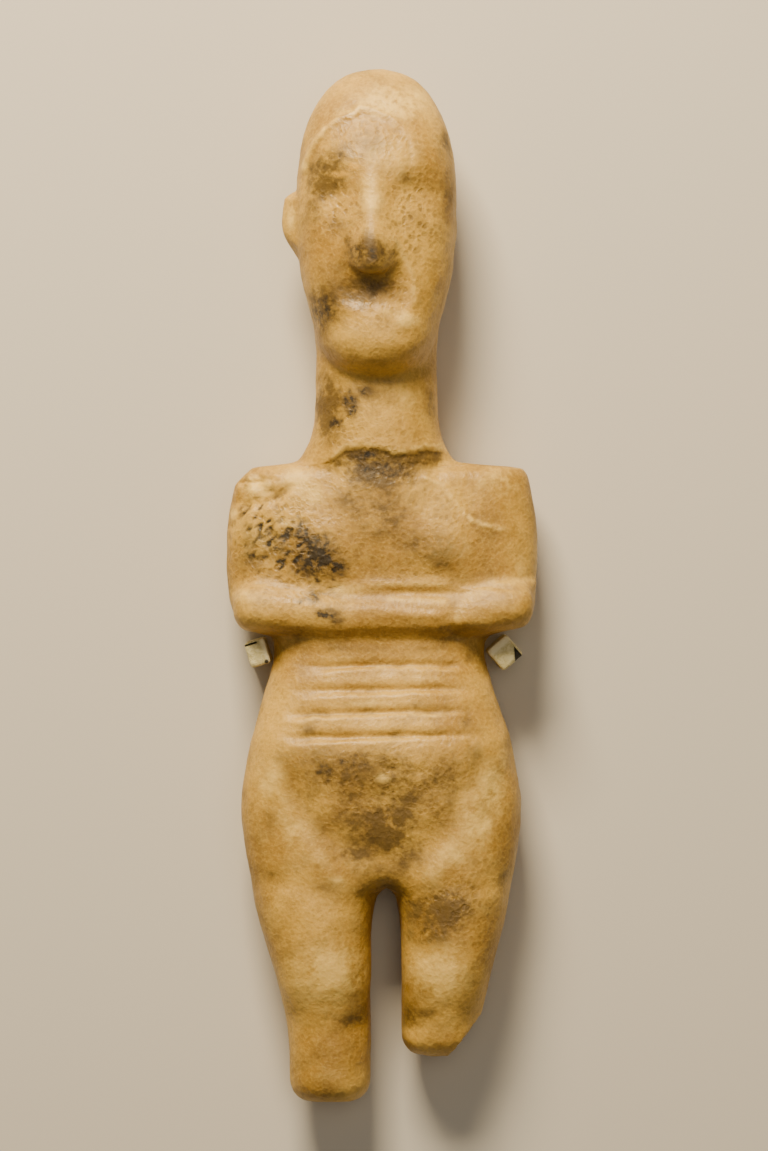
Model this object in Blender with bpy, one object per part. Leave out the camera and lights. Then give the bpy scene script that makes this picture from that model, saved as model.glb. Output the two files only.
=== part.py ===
"""A marble Cycladic figurine, lying on its back between the two pegs that stop it by the waist.

Lengths are metres. X runs across the figure, Y from the broken legs up to the crown, and Z up
from the surface that it lies on, so that its front faces up. While it is carved, Y is counted
from the end of the longer leg; the last step moves the origin to the middle of the underside.
"""

import math

import bmesh
import bpy
import numpy as np
from mathutils import Matrix, Vector
from mathutils.bvhtree import BVHTree

MM = 0.001

# The figure's own sizes.
FIGURE_LENGTH = 215 * MM
HEAD_WIDTH = 33.4 * MM
NECK_WIDTH = 25.4 * MM
NECK_DEPTH = 19.4 * MM
SHOULDER_WIDTH = 65 * MM
CHEST_DEPTH = 22.4 * MM
WAIST_WIDTH = 43.7 * MM
WAIST_DEPTH = 18.5 * MM
HIP_WIDTH = 58 * MM
HIP_DEPTH = 27 * MM
CALF_DEPTH = 17 * MM
LEG_GAP = 6.3 * MM

# Heights on the figure, as shares of its length.
SHORT_LEG_END = 0.0445 * FIGURE_LENGTH
SHIN = 0.064 * FIGURE_LENGTH
KNEE_HOLLOW = 0.08 * FIGURE_LENGTH
KNEE = 0.122 * FIGURE_LENGTH
THIGH = 0.19 * FIGURE_LENGTH
CROTCH = 0.2125 * FIGURE_LENGTH
HIP = 0.283 * FIGURE_LENGTH
BELLY = 0.33 * FIGURE_LENGTH
WAIST = 0.434 * FIGURE_LENGTH
ARM_UNDERSIDE = 0.449 * FIGURE_LENGTH
LOWER_FOREARM = 0.464 * FIGURE_LENGTH
UPPER_FOREARM = 0.489 * FIGURE_LENGTH
BREAST = 0.531 * FIGURE_LENGTH
SHOULDER = 0.618 * FIGURE_LENGTH
CHIN = 0.699 * FIGURE_LENGTH
LIPS = 0.768 * FIGURE_LENGTH
NOSE_TIP = 0.81 * FIGURE_LENGTH
HEAD_MIDDLE = 0.842 * FIGURE_LENGTH
EAR = 0.853 * FIGURE_LENGTH
EYE = 0.863 * FIGURE_LENGTH
BROW = 0.898 * FIGURE_LENGTH

# The head and neck stand a little to the figure's right of the middle, and the leg gap to its left.
HEAD_X = -0.0054 * FIGURE_LENGTH
LEG_GAP_X = 0.004 * FIGURE_LENGTH

# The folds across the belly.
FOLDS = 4
FIRST_FOLD = 0.4235 * FIGURE_LENGTH
FOLD_STEP = 0.0225 * FIGURE_LENGTH

# The pegs, the room between them and the stone, and how far each is turned.
PEG_SIDE = 5.6 * MM
NARROW_PEG_SIDE = 4.4 * MM
PEG_HEIGHT = 17 * MM
PEG_EDGE = 0.7 * MM
PEG_CLEARANCE = 0.3 * MM
PEG_LEVEL = 0.436 * FIGURE_LENGTH
PEG_NEAREST = 22 * MM
RIGHT_PEG_TURN = 17
LEFT_PEG_TURN = 41

# The skin's grid: points round a quarter of a ring at the front and at the back, and across the
# leg gap.
FRONT_QUARTER_POINTS = 13
BACK_QUARTER_POINTS = 6
GAP_POINTS = 5
MARCH_STEP = 1.0 * MM
MARCH_REACH = 46 * MM
HALVINGS = 11


def share(part):
    """A length that is this many thousandths of the figure's length."""
    return part * FIGURE_LENGTH / 1000


def smooth_line(*knots):
    """A function of height that runs through the (height, value) knots and never overshoots them."""
    heights, values = (np.array(column, float) for column in zip(*sorted(knots)))
    steps = np.diff(heights)
    slopes = np.diff(values) / steps
    tangents = np.concatenate([slopes[:1], np.zeros(len(slopes) - 1), slopes[-1:]])
    turning = slopes[:-1] * slopes[1:] <= 0
    safe = np.where(turning, 1, slopes[:-1] + slopes[1:])
    tangents[1:-1] = np.where(turning, 0, 2 * slopes[:-1] * slopes[1:] / safe)

    def at(height):
        height = np.clip(height, heights[0], heights[-1])
        i = np.clip(np.searchsorted(heights, height) - 1, 0, len(steps) - 1)
        t = (height - heights[i]) / steps[i]
        rise = (3 - 2 * t) * t * t
        return (
            values[i] * (1 - rise)
            + values[i + 1] * rise
            + steps[i] * t * (1 - t) * (tangents[i] * (1 - t) - tangents[i + 1] * t)
        )

    return at


def fade(value, start, end):
    """0 before start, 1 after end, and smooth between them."""
    t = np.clip((value - start) / (end - start), 0, 1)
    return t * t * (3 - 2 * t)


def from_surface(distances, reach):
    """The distance to a rounded surface, from a point's offsets and its reach, which is 1 there."""
    return distances * (1 - 1 / np.maximum(reach, 1e-6))


def blend(first, second, radius):
    """The union of two solids with a fillet of about this radius between them."""
    mix = np.clip(0.5 + 0.5 * (second - first) / radius, 0, 1)
    return second * (1 - mix) + first * mix - radius * mix * (1 - mix)


def column(p, left, right, back, front, bottom, top, squareness, bottom_round, top_round):
    """An upright solid whose sides, back and front are functions of height, with rounded ends."""
    x, y, z = p
    above = np.maximum(y - (top - top_round), 0)
    below = np.maximum(bottom + bottom_round - y, 0)
    past = np.maximum(above, below)
    rounding = np.where(above > 0, top_round, bottom_round)
    inset = rounding - np.sqrt(np.maximum(rounding**2 - past**2, 0))
    half_width = np.maximum((right(y) - left(y)) / 2 - inset, 0.1 * MM)
    half_depth = np.maximum((front(y) - back(y)) / 2 - inset, 0.1 * MM)
    dx = x - (right(y) + left(y)) / 2
    dz = z - (front(y) + back(y)) / 2
    reach = (np.abs(dx / half_width) ** squareness + np.abs(dz / half_depth) ** squareness) ** (
        1 / squareness
    )
    return np.maximum(from_surface(np.hypot(dx, dz), reach), past - rounding)


def ellipsoid(p, centre, radii, squareness=2):
    """A rounded solid about its centre, with its half sizes across, along and up."""
    offsets = [a - b for a, b in zip(p, centre)]
    reach = sum(np.abs(o / r) ** squareness for o, r in zip(offsets, radii)) ** (1 / squareness)
    return from_surface(np.sqrt(sum(o * o for o in offsets)), reach)


def bar(p, start, end, half_height, half_depth, squareness=2):
    """A rounded bar from start to end, such as a forearm in relief."""
    run = [e - s for s, e in zip(start, end)]
    along = sum((a - s) * r for a, s, r in zip(p, start, run)) / sum(r * r for r in run)
    along = np.clip(along, 0, 1)
    nearest = [s + along * r for s, r in zip(start, run)]
    return ellipsoid(p, nearest, (half_height, half_height, half_depth), squareness)


def stroke(p, path, width):
    """How near a point of the plan is to a path of (x, y) points: 1 on it, fading out at its width."""
    nearest = np.full(np.broadcast(*p).shape, np.inf)
    for (ax, ay), (bx, by) in zip(path, path[1:]):
        rx, ry = bx - ax, by - ay
        t = np.clip(((p[0] - ax) * rx + (p[1] - ay) * ry) / (rx * rx + ry * ry), 0, 1)
        nearest = np.minimum(nearest, np.hypot(p[0] - ax - t * rx, p[1] - ay - t * ry))
    return np.exp(-((nearest / width) ** 2))


def head(p):
    """The long head: a flat face that leans back to a domed crown, and a rounded chin."""
    x, y, z = p
    half_width = smooth_line(
        (CHIN, HEAD_WIDTH * 0.34),
        (CHIN + share(46), HEAD_WIDTH * 0.375),
        (LIPS, HEAD_WIDTH * 0.418),
        (NOSE_TIP - share(14), HEAD_WIDTH * 0.465),
        (HEAD_MIDDLE, HEAD_WIDTH * 0.5),
    )(y)
    front = smooth_line(
        (CHIN, share(150)),
        (LIPS, share(143)),
        (NOSE_TIP, share(147)),
        (BROW, share(148)),
        (FIGURE_LENGTH, share(128)),
    )(y)
    back = smooth_line(
        (CHIN, share(30)), (LIPS, share(22)), (EYE, share(4)), (BROW, share(4)), (FIGURE_LENGTH, share(18))
    )(y)
    up = np.maximum(y - EYE, 0) / (FIGURE_LENGTH - EYE)
    down = np.maximum(CHIN + share(43) - y, 0) / share(43)
    power = np.where(up > 0, 2.4, 2.0)
    dx = x - HEAD_X
    dz = z - (front + back) / 2
    half_depth = (front - back) / 2
    across = (np.abs(dx / half_width) ** 2.35 + np.abs(dz / half_depth) ** 2.35) ** (1 / 2.35)
    reach = (across**power + np.maximum(up, down) ** power) ** (1 / power)
    past = np.maximum(up * share(120), down * share(43))
    return from_surface(np.sqrt(dx * dx + dz * dz + past * past), reach)


def nose(p):
    """The long wedge of the nose, flat below where it overhangs the lip."""
    half_width = smooth_line((NOSE_TIP, share(22)), (EYE, share(14)), (BROW, share(13)))
    ridge = smooth_line(
        (NOSE_TIP - share(6), share(167)),
        (NOSE_TIP + share(6), share(171)),
        (EYE, share(160)),
        (BROW, share(150)),
    )
    middle = HEAD_X - share(4.5)
    return column(
        p,
        lambda y: middle - half_width(y),
        lambda y: middle + half_width(y),
        lambda y: ridge(y) - share(70),
        ridge,
        NOSE_TIP - share(7),
        BROW + share(12),
        1.9,
        share(8),
        share(12),
    )


def neck(p):
    """The round neck, flaring where it meets the shoulders."""
    flare = smooth_line(
        (SHOULDER, share(17)), (SHOULDER + share(15), share(8.5)), (SHOULDER + share(40), share(1)),
        (CHIN, 0),
    )
    return column(
        p,
        lambda y: HEAD_X - NECK_WIDTH / 2 - flare(y),
        lambda y: HEAD_X + NECK_WIDTH / 2 + flare(y),
        lambda y: share(20) - flare(y) * 0.4,
        lambda y: share(20) + NECK_DEPTH - flare(y) * 0.2,
        BREAST,
        LIPS + share(20),
        2.2,
        share(20),
        share(40),
    )


def torso(p):
    """The flat block of the shoulders, chest and upper arms, its sides bowed a little."""

    def bow(y):
        return share(6) * ((y - BREAST) / share(60)) ** 2

    return column(
        p,
        lambda y: bow(y) - SHOULDER_WIDTH / 2,
        lambda y: SHOULDER_WIDTH / 2 - bow(y),
        lambda y: bow(y) * 0.5 - share(2),
        lambda y: CHEST_DEPTH - 0.6 * bow(y),
        ARM_UNDERSIDE + share(13) * fade(np.abs(p[0]), share(70), share(140)),
        SHOULDER + share(4) * fade(p[0], share(90), share(130)),
        3.0,
        share(26),
        share(17),
    )


def arms(p):
    """The right forearm folded across, its hand against the left elbow."""
    reach = SHOULDER_WIDTH / 2
    height = (LOWER_FOREARM + UPPER_FOREARM) / 2 - share(3.5)
    front = CHEST_DEPTH - share(31)
    deep = share(38)
    right_elbow = (-reach + share(32), height + share(7), front)
    wrist = (-share(50), height, front)
    hand = (share(68), height, front)
    left_elbow = (reach - share(29), height + share(9), front)
    upper = bar(p, right_elbow, wrist, share(25), deep, 2.5)
    lower = bar(p, wrist, hand, share(25), deep, 2.5)
    elbow = bar(p, (share(94), height + share(3), front), left_elbow, share(24), deep + share(1), 2.5)
    return blend(blend(upper, lower, share(4)), elbow, share(3))


def breasts(p):
    """Two low, wide breasts."""
    solids = [
        ellipsoid(
            p,
            (side * share(56), BREAST + share(10), CHEST_DEPTH - share(32)),
            (share(46), share(40), share(37)),
        )
        for side in (-1, 1)
    ]
    return np.minimum(*solids)


def outer_side(y):
    """Half the width over the hips and both legs, from the waist down."""
    return smooth_line(
        (0, share(91)),
        (SHIN, share(92.5)),
        (KNEE_HOLLOW, share(94.5)),
        (KNEE, share(104)),
        (THIGH, share(122)),
        (CROTCH + share(22), HIP_WIDTH * 0.478),
        (HIP, HIP_WIDTH / 2),
        (BELLY, HIP_WIDTH * 0.484),
        (WAIST - share(58), HIP_WIDTH * 0.437),
        (WAIST - share(22), HIP_WIDTH * 0.397),
        (WAIST, WAIST_WIDTH / 2),
        (ARM_UNDERSIDE + share(20), WAIST_WIDTH / 2),
    )(y)


def middle_line(y):
    """Where the middle of the hips and legs lies, as the figure leans a little to its right."""
    return smooth_line(
        (0, share(1.9)), (KNEE, share(1)), (THIGH, -share(0.5)), (BELLY, -share(1)), (WAIST, -share(2.7))
    )(y)


def pelvis(p):
    """The belly and hips, rounding off between the thighs."""
    front = smooth_line(
        (CROTCH, HIP_DEPTH - share(15)),
        (HIP, HIP_DEPTH - share(6)),
        (BELLY, HIP_DEPTH - share(2)),
        (WAIST - share(40), HIP_DEPTH - share(15)),
        (WAIST, WAIST_DEPTH + share(14)),
    )
    back = smooth_line(
        (CROTCH, share(12)), (HIP, share(-2)), (BELLY, share(0)), (WAIST, share(5)),
        (ARM_UNDERSIDE + share(25), share(1)),
    )
    return column(
        p,
        lambda y: middle_line(y) - outer_side(y),
        lambda y: middle_line(y) + outer_side(y),
        back,
        front,
        CROTCH,
        ARM_UNDERSIDE + share(30),
        2.9,
        share(14),
        share(9),
    )


def gap_side(y):
    """Half the gap between the legs, which ends in a narrow arch at the crotch."""
    arch = share(60)
    into_arch = np.clip((y - (CROTCH - arch)) / arch, 0, 1)
    return (LEG_GAP / 2) * (1 - into_arch**2) ** 0.6


def leg(p, side, end):
    """One leg, from inside the hip down to where it is broken off."""
    front = smooth_line(
        (end, CALF_DEPTH + share(11)),
        (SHIN, CALF_DEPTH + share(15)),
        (KNEE_HOLLOW, CALF_DEPTH + share(17)),
        (KNEE, HIP_DEPTH - share(16)),
        (THIGH, HIP_DEPTH - share(12)),
        (HIP, HIP_DEPTH - share(12)),
        (BELLY, HIP_DEPTH - share(22)),
    )
    back = smooth_line(
        (end, share(14)), (SHIN, share(8)), (KNEE, share(13)), (THIGH, share(3)), (HIP, share(-3)),
        (BELLY, share(6)),
    )

    def inner(y):
        return LEG_GAP_X + side * gap_side(y)

    def outer(y):
        return middle_line(y) + side * outer_side(y)

    left, right = (outer, inner) if side < 0 else (inner, outer)
    return column(p, left, right, back, front, end, BELLY + share(20), 2.4, share(22), share(50))


def ears(p):
    """The figure's right ear stands well out; its left one is worn down almost to the head."""
    side = HEAD_WIDTH / 2
    right_ear = ellipsoid(
        p, (HEAD_X - side - share(1), EAR, share(76)), (share(15), share(28), share(17)), 3
    )
    left_ear = ellipsoid(
        p, (HEAD_X + side - share(8), EAR - share(8), share(72)), (share(10.5), share(26), share(17))
    )
    return np.minimum(right_ear, left_ear)


def chips(p):
    """What is lost: the corner of the right shoulder and the outer corner of the shorter leg."""
    x, y, z = p
    shoulder = (-x - SHOULDER_WIDTH / 2) + (y - SHOULDER) + share(28)
    shoulder = np.where(y < SHOULDER + share(20), shoulder * 0.71, -1)
    shin_end = (x - middle_line(y) - outer_side(y)) * 0.75 - (y - SHORT_LEG_END) + share(19)
    return np.maximum(shoulder, np.where(x > 0, shin_end * 0.8, -1))


def belly_folds(p):
    """Four folds across the belly, each a groove that fades at its ends."""
    x, y, z = p
    total = 0
    for number in range(FOLDS):
        groove = FIRST_FOLD - number * FOLD_STEP
        widening = 0.03 * number
        ends = 1 - fade(np.abs(x), WAIST_WIDTH * (0.29 + widening), WAIST_WIDTH * (0.42 + widening))
        total = total + ends * np.exp(-(((y - groove) / share(3.6)) ** 2))
    return share(4.5) * total


def front_carving(p):
    """Depth cut into the front: the face's hollows, the belly's folds, the groin and the knees."""
    crotch = (LEG_GAP_X, CROTCH + share(24))
    right_groin = [
        (-share(119), BELLY),
        (-share(86), HIP - share(10)),
        (-share(38), CROTCH + share(38)),
        crotch,
    ]
    left_groin = [
        (share(124), BELLY + share(6)),
        (share(92), HIP - share(4)),
        (share(48), CROTCH + share(42)),
        crotch,
    ]
    eyes = [
        [(HEAD_X + side * share(38), EYE + share(14)), (HEAD_X + side * share(48), EYE + share(12))]
        for side in (-1, 1)
    ]
    cheeks = [
        [(HEAD_X + side * share(36), EYE + share(10)), (HEAD_X + side * share(40), NOSE_TIP)]
        for side in (-1, 1)
    ]
    lip = [(HEAD_X - share(24), LIPS + share(18)), (HEAD_X + share(24), LIPS + share(18))]
    mouth = [(HEAD_X - share(26), LIPS), (HEAD_X + share(26), LIPS)]
    knees = [(-share(88), KNEE_HOLLOW), (share(88), KNEE_HOLLOW)]
    elbow = [(share(82), UPPER_FOREARM + share(2)), (share(72), LOWER_FOREARM - share(10))]
    fingers = [(-share(35), UPPER_FOREARM), (share(58), UPPER_FOREARM + share(2))]
    upper_arm = [(share(74), SHOULDER - share(18)), (share(104), BREAST + share(20))]
    return (
        belly_folds(p)
        + share(5) * np.maximum(stroke(p, right_groin, share(13)), stroke(p, left_groin, share(13)))
        + share(5) * sum(stroke(p, eye, share(16)) for eye in eyes)
        + share(3) * sum(stroke(p, cheek, share(16)) for cheek in cheeks)
        + share(5) * stroke(p, lip, share(14))
        + share(2) * stroke(p, mouth, share(5))
        + share(4) * stroke(p, knees, share(10))
        + share(6) * stroke(p, elbow, share(9))
        + share(3.5) * stroke(p, fingers, share(4.5))
        + share(3) * stroke(p, upper_arm, share(9))
    )


def back_carving(p):
    """Depth cut into the back: the spine, the cleft of the buttocks and the neckline."""
    spine = [(0, WAIST), (0, SHOULDER - share(40))]
    cleft = [(LEG_GAP_X, CROTCH), (0, BELLY)]
    return share(7) * stroke(p, spine, share(9)) + share(10) * stroke(p, cleft, share(11))


def figure_field(p):
    """Below zero inside the stone and above zero outside it, about in metres."""
    z = p[2]
    soft_back = share(26) * fade(-z, -share(60), -share(20))
    solid = blend(torso(p), neck(p), share(10) + soft_back)
    solid = blend(solid, breasts(p), share(16))
    solid = blend(solid, arms(p), share(7))
    solid = blend(solid, pelvis(p), share(7) + soft_back)
    legs = np.minimum(leg(p, -1, 0), leg(p, 1, SHORT_LEG_END))
    groin = share(4) + share(12) * (1 - fade(np.abs(p[0]), share(60), share(115)))
    solid = blend(solid, legs, groin)
    face = blend(head(p), nose(p), share(9))
    face = blend(face, ears(p), share(2))
    solid = blend(solid, face, share(6))
    facing_up = fade(z, share(62), share(82))
    facing_down = fade(-z, -share(36), -share(20))
    solid = solid + facing_up * front_carving(p) + facing_down * back_carving(p)
    return np.maximum(np.maximum(solid, chips(p)), -z)


def skin_distance(origin, directions):
    """How far the stone reaches from a point inside it, in each direction, up to its first surface."""
    steps = np.arange(0, MARCH_REACH, MARCH_STEP)

    def inside(distances):
        points = [origin[i] + directions[:, i, None] * distances for i in range(3)]
        return figure_field(points) < 0

    out = ~inside(steps[None, :])
    first = np.where(out.any(1), out.argmax(1), len(steps) - 1)
    near, far = steps[np.maximum(first - 1, 0)], steps[first]
    for _ in range(HALVINGS):
        middle = (near + far) / 2
        is_in = inside(middle[:, None])[:, 0]
        near, far = np.where(is_in, middle, near), np.where(is_in, far, middle)
    return near


def ring(origin, angles, half_width, half_depth):
    """The skin's points round an origin, at one height, spread evenly for a section of this shape."""
    directions = np.stack(
        [half_width * np.cos(angles), np.zeros(len(angles)), half_depth * np.sin(angles)], 1
    )
    directions /= np.linalg.norm(directions, axis=1)[:, None]
    reach = skin_distance(origin, directions)
    return [Vector(origin) + Vector(d) * float(r) for d, r in zip(directions, reach)]


def round_angles():
    """Angles from the middle of the front, by the figure's right side and the back, to the front again."""
    over = np.linspace(math.pi / 2, math.pi, FRONT_QUARTER_POINTS, endpoint=False)
    under = math.pi * (1 + 0.5 * (1 - np.linspace(1, 0, BACK_QUARTER_POINTS + 1) ** 1.3))
    half = np.concatenate([over, under])
    return np.concatenate([half, (3 * math.pi - half[::-1])[1:-1]])


def body_heights():
    """Heights of the rings from the crotch to the crown, closer where the form turns quickly."""
    last_fold = FIRST_FOLD - (FOLDS - 1) * FOLD_STEP
    heights = list(np.linspace(CROTCH + share(6), last_fold - share(11), 10))
    for number in reversed(range(FOLDS)):
        groove = FIRST_FOLD - number * FOLD_STEP
        heights += [groove - share(4), groove, groove + share(4), groove + share(11.5)]
    spans = (
        (WAIST + share(6), ARM_UNDERSIDE + share(14), 8),
        (ARM_UNDERSIDE + share(14), UPPER_FOREARM + share(16), 7),
        (UPPER_FOREARM + share(16), SHOULDER - share(20), 6),
        (SHOULDER - share(20), SHOULDER + share(4), 8),
        (SHOULDER + share(4), CHIN - share(4), 5),
        (CHIN - share(4), CHIN + share(20), 7),
        (CHIN + share(20), NOSE_TIP - share(12), 7),
        (NOSE_TIP - share(12), NOSE_TIP + share(4), 5),
        (NOSE_TIP + share(4), EAR + share(20), 5),
        (EAR + share(20), EAR + share(32), 4),
        (EAR + share(32), BROW, 1),
        (BROW, FIGURE_LENGTH - share(30), 7),
    )
    heights += [low + (high - low) * i / count for low, high, count in spans for i in range(count)]
    crown = share(30)
    turns = 6
    heights += [
        FIGURE_LENGTH - crown * (1 - math.sin(math.pi / 2 * i / turns)) for i in range(turns)
    ]
    return heights


def section_middle(height):
    """The point that a ring of the body is drawn round."""
    line_x = smooth_line((CROTCH, LEG_GAP_X), (BELLY, 0), (SHOULDER, 0), (CHIN, HEAD_X))
    line_z = smooth_line(
        (CROTCH, share(56)), (SHOULDER, share(54)), (CHIN, share(68)), (HEAD_MIDDLE, share(80))
    )
    return float(line_x(height)), height, float(line_z(height))


def body_rings():
    """The rings of the head, trunk and hips, from the crotch up."""
    angles = round_angles()
    compass = np.array([[1, 0, 0], [-1, 0, 0], [0, 0, 1], [0, 0, -1]], float)
    rings = []
    for height in body_heights():
        middle = section_middle(height)
        right, left, front, back = skin_distance(middle, compass)
        depth = max((front + back) / 2, share(48))
        rings.append(ring(middle, angles, (left + right) / 2, depth))
    return rings


def leg_heights(end):
    """Heights of a leg's rings, from its broken end to just under the crotch."""
    turned = share(22)
    turns = 5
    top = CROTCH - share(26)
    shaft = 11 if end == 0 else 8
    heights = [end + turned * (1 - math.cos(math.pi / 2 * i / turns)) for i in range(1, turns)]
    heights += [end + turned + (top - end - turned) * i / shaft for i in range(shaft)]
    return heights + [CROTCH - share(drop) for drop in (26, 18, 12, 8)]


def leg_rings(side, end):
    """The rings of one leg, each starting at the front of its inner side and going round outwards."""
    corner = math.radians(46)
    over = np.linspace(corner, math.pi, FRONT_QUARTER_POINTS, endpoint=False)
    under = np.linspace(math.pi, 2 * math.pi - corner, BACK_QUARTER_POINTS + 1)
    inward = np.linspace(-corner, corner, GAP_POINTS + 2)[1:-1]
    angles = np.concatenate([over, under, inward])
    if side > 0:
        angles = math.pi - angles
    rings = []
    for height in leg_heights(end):
        inner = LEG_GAP_X + side * float(gap_side(height))
        outer = float(middle_line(height)) + side * float(outer_side(height))
        middle = ((inner + outer) / 2, height, share(54))
        points = ring(middle, angles, abs(outer - inner) / 2, share(50))
        for point in points:
            point.x = side * max(side * point.x, side * LEG_GAP_X)
        rings.append(points)
    return rings


def saddle(front, back):
    """The points of the crotch between the front and back of the lowest ring of the body."""
    points = []
    for i in range(1, GAP_POINTS + 1):
        z = back.z + (front.z - back.z) * i / (GAP_POINTS + 1)
        start = (LEG_GAP_X, CROTCH + share(30), z)
        down = float(skin_distance(start, np.array([[0.0, -1.0, 0.0]]))[0])
        points.append(Vector((LEG_GAP_X, start[1] - down, z)))
    return points


def join_rings(mesh, lower, upper):
    """A band of faces between two rings of the same number of points."""
    count = len(lower)
    for i in range(count):
        j = (i + 1) % count
        mesh.faces.new((lower[i], lower[j], upper[j], upper[i]))


def close_end(mesh, points, middle):
    """A fan of faces from the last ring to a point in its middle."""
    tip = mesh.verts.new(middle)
    for i, point in enumerate(points):
        mesh.faces.new((point, points[(i + 1) % len(points)], tip))


def add_object(name, mesh, material):
    """A smooth shaded object from a bmesh, with its faces turned out."""
    bmesh.ops.recalc_face_normals(mesh, faces=mesh.faces[:])
    data = bpy.data.meshes.new(name)
    mesh.to_mesh(data)
    mesh.free()
    data.materials.append(material)
    data.shade_smooth()
    obj = bpy.data.objects.new(name, data)
    bpy.context.scene.collection.objects.link(obj)
    return obj


def carve_figurine(material):
    """The whole figure as one closed skin of rings: two legs that meet in the body above the crotch."""
    mesh = bmesh.new()
    body = [[mesh.verts.new(p) for p in points] for points in body_rings()]
    for lower, upper in zip(body, body[1:]):
        join_rings(mesh, lower, upper)
    crown = sum((v.co for v in body[-1]), Vector()) / len(body[-1])
    close_end(mesh, body[-1], Vector((crown.x, FIGURE_LENGTH, crown.z)))

    base = body[0]
    half = len(base) // 2
    bridge = [mesh.verts.new(p) for p in saddle(base[0].co, base[half].co)]
    right_half = base[: half + 1] + bridge
    left_half = [base[0]] + base[:half - 1:-1] + bridge
    for side, top, end in ((-1, right_half, 0), (1, left_half, SHORT_LEG_END)):
        rings = [[mesh.verts.new(p) for p in points] for points in leg_rings(side, end)]
        for lower, upper in zip(rings, rings[1:] + [top]):
            join_rings(mesh, lower, upper)
        ankle = sum((v.co for v in rings[0]), Vector()) / len(rings[0])
        close_end(mesh, rings[0], Vector((ankle.x, end, ankle.z)))
    return add_object("figurine", mesh, material)


def peg_skin(width, length, turn):
    """Points all over the sides of a peg that stands on the origin, turned by so many degrees."""
    spin = Matrix.Rotation(math.radians(turn), 4, "Z")
    steps = np.linspace(-0.5, 0.5, 9)
    edges = [(s * width, side * length / 2) for side in (-1, 1) for s in steps]
    edges += [(side * width / 2, s * length) for side in (-1, 1) for s in steps]
    levels = np.linspace(0, PEG_HEIGHT, 18)
    return [spin @ Vector((x, y, z)) for x, y in edges for z in levels]


def room_beside(figurine, side, width, length, turn):
    """How far out a turned peg stands, so that it clears the stone by the same gap all round."""
    stone = BVHTree.FromPolygons(
        [v.co for v in figurine.data.vertices], [f.vertices for f in figurine.data.polygons]
    )
    skin = peg_skin(width, length, turn)
    reach = PEG_NEAREST
    while True:
        places = [Vector((side * reach, PEG_LEVEL, 0)) + p for p in skin]
        nearest = [stone.find_nearest(p) for p in places]
        gaps = [(p - hit[0]).dot(hit[1]) for p, hit in zip(places, nearest)]
        if min(gaps) >= PEG_CLEARANCE:
            return reach
        reach += 0.05 * MM


def add_peg(name, figurine, side, width, length, turn, material):
    """A square peg that stands beside the waist, its foot cut flat where it meets the board."""
    mesh = bmesh.new()
    bmesh.ops.create_cube(mesh, size=1)
    bmesh.ops.scale(mesh, vec=(width, length, PEG_HEIGHT), verts=mesh.verts)
    bmesh.ops.translate(mesh, vec=(0, 0, PEG_HEIGHT / 2), verts=mesh.verts)
    upper = [e for e in mesh.edges if max(v.co.z for v in e.verts) > 0]
    bmesh.ops.bevel(mesh, geom=upper, offset=PEG_EDGE, segments=3, profile=0.5, affect="EDGES")
    peg = add_object(name, mesh, material)
    reach = room_beside(figurine, side, width, length, turn)
    peg.location = (side * reach, PEG_LEVEL, 0)
    peg.rotation_euler = (0, 0, math.radians(turn))
    peg.data.set_sharp_from_angle(angle=math.radians(40))
    return peg


def surface(name, colour, roughness):
    """A plain finish of one colour."""
    material = bpy.data.materials.new(name)
    material.use_nodes = True
    shader = material.node_tree.nodes["Principled BSDF"]
    shader.inputs["Base Color"].default_value = (*colour, 1)
    shader.inputs["Roughness"].default_value = roughness
    shader.inputs["Metallic"].default_value = 0
    return material


def centre_on_floor(objects):
    """Moves everything so that the origin is in the middle of the underside."""
    bpy.context.view_layer.update()
    corners = [o.matrix_world @ Vector(c) for o in objects for c in o.bound_box]
    middle_x = (min(c.x for c in corners) + max(c.x for c in corners)) / 2
    middle_y = (min(c.y for c in corners) + max(c.y for c in corners)) / 2
    for obj in objects:
        obj.location -= Vector((middle_x, middle_y, 0))
    bpy.context.view_layer.update()


def main():
    for obj in list(bpy.data.objects):
        bpy.data.objects.remove(obj)
    marble = surface("honey_marble", (0.62, 0.43, 0.22), 0.45)
    cream = surface("cream_sleeve", (0.66, 0.58, 0.36), 0.6)
    figurine = carve_figurine(marble)
    right = add_peg("right_peg", figurine, -1, NARROW_PEG_SIDE, PEG_SIDE, RIGHT_PEG_TURN, cream)
    left = add_peg("left_peg", figurine, 1, PEG_SIDE, PEG_SIDE, LEFT_PEG_TURN, cream)
    centre_on_floor([figurine, right, left])


main()
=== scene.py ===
# %% [markdown]
# # A folded arm figurine in honey coloured marble
#
# This lesson dresses a small prehistoric figure of about 215 mm. It lies on its back between two
# short square pegs, and the camera looks straight down on it, so the picture shows its front.
#
# The imported model gives the size and the place of every piece. The lesson leaves those solids where
# they are and lays a finer skin over each of them: first the shallow carving and the wear, then the
# stains of long burial with painted shade and highlights, and last the marble itself.

# %% Load the imported model
import math

import bmesh
import bpy
import numpy as np
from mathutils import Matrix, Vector, noise


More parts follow.
